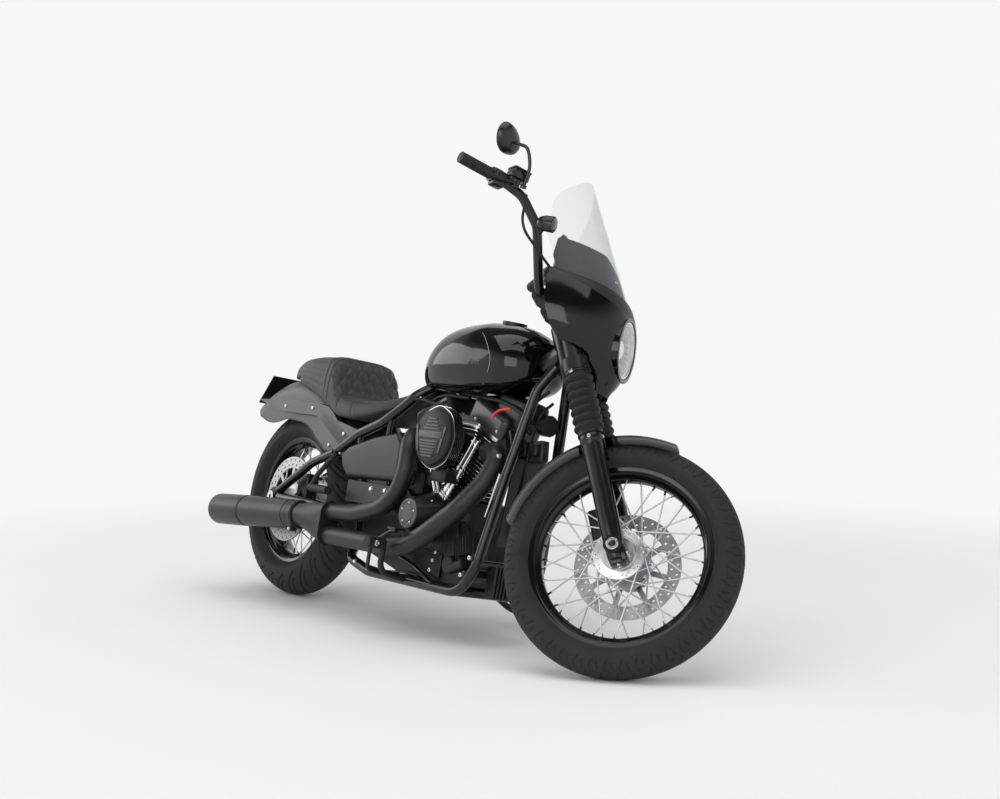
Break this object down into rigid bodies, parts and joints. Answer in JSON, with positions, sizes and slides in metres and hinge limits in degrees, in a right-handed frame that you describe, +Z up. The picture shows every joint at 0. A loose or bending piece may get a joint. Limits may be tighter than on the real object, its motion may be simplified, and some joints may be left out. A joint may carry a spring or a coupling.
{
  "type": "cruiser motorcycle",
  "caption": "Cruiser motorcycle with an air-cooled V-twin, wire wheels, fork-mounted fairing with windscreen and stepped seat, leaning on its side stand.",
  "frame": {"origin": "on the ground, under the middle of the box around the parked motorcycle", "axes": "+X forward along the motorcycle, +Y to the rider's left, the side it leans to, +Z up"},
  "size_m": [2.2379, 0.7772, 1.5243],
  "materials": {
    "tyre": "matt moulded rubber",
    "gloss_black": "gloss black paint under clear coat",
    "satin_black": "satin black paint",
    "dark_grey": "satin dark grey paint",
    "engine_metal": "black coated castings with machined fin edges",
    "bright_metal": "satin machined alloy and steel spokes",
    "steel": "brushed steel",
    "chrome": "polished chrome",
    "caliper_black": "black anodised",
    "rubber": "matt rubber",
    "plastic_black": "black plastic",
    "leather": "black stitched leather",
    "lens": "clear lamp lens",
    "screen": "clear screen"
  },
  "bodies": {
    "chassis": {"frame": "satin_black", "swingarm": "satin_black", "engine_cases": "satin_black", "cylinder_front": "engine_metal", "cylinder_rear": "engine_metal", "rocker_cover_front": "dark_grey", "rocker_cover_rear": "dark_grey", "pushrod_tubes": "chrome", "cam_cover": "satin_black", "air_cleaner": "dark_grey", "primary_cover": "satin_black", "exhaust_pipes": "satin_black", "muffler": "satin_black", "fuel_tank": "gloss_black", "fuel_cap": "plastic_black", "seat": "leather", "rear_fender": "dark_grey", "fender_struts": "satin_black", "plate_holder": "satin_black", "side_covers": "satin_black", "electrics_box": "plastic_black", "front_panel": "satin_black", "oil_cooler": "engine_metal", "horn": "satin_black", "foot_pegs": "rubber", "foot_controls": "satin_black", "drive_belt": "rubber", "rear_caliper": "caliper_black", "rear_axle": "steel"},
    "front_end": {"lower_clamp": "satin_black", "upper_clamp": "satin_black", "fork_tubes": "steel", "fork_gaiters": "rubber", "fork_sliders": "satin_black", "front_axle": "steel", "front_fender": "gloss_black", "fairing": "gloss_black", "headlamp_shell": "gloss_black", "headlamp_lens": "lens", "windscreen": "screen", "handlebar": "satin_black", "grips": "rubber", "hand_controls": "plastic_black", "mirrors": "plastic_black", "front_signals": "satin_black", "front_caliper": "caliper_black", "brake_line": "rubber"},
    "front_wheel": {"front_tyre": "tyre", "front_rim": "gloss_black", "front_hub": "bright_metal", "front_disc": "steel"},
    "rear_wheel": {"rear_tyre": "tyre", "rear_rim": "gloss_black", "rear_hub": "bright_metal", "rear_disc": "steel", "belt_sprocket": "steel"},
    "stand": {"side_stand": "satin_black"}
  },
  "joints": [
    {"name": "steering", "type": "hinge", "parent": "chassis", "child": "front_end", "pos_m": [0.51376, 0.00789, 0.80743], "axis": [-0.4907, 0.1663, 0.8553], "range_deg": [-72.8, 0]},
    {"name": "front_wheel_spin", "type": "hinge", "parent": "front_end", "child": "front_wheel", "pos_m": [0.82886, -0.0724, 0.30232], "axis": [-0.5189, 0.7328, -0.4402], "continuous": true},
    {"name": "rear_wheel_spin", "type": "hinge", "parent": "chassis", "child": "rear_wheel", "pos_m": [-0.79607, -0.09058, 0.31839], "axis": [-0.0021, 0.9814, -0.192], "continuous": true},
    {"name": "side_stand_hinge", "type": "hinge", "parent": "chassis", "child": "stand", "pos_m": [0.10672, 0.01948, 0.11071], "axis": [-0.2712, 0.9616, -0.0422], "range_deg": [0, 112]}
  ]
}
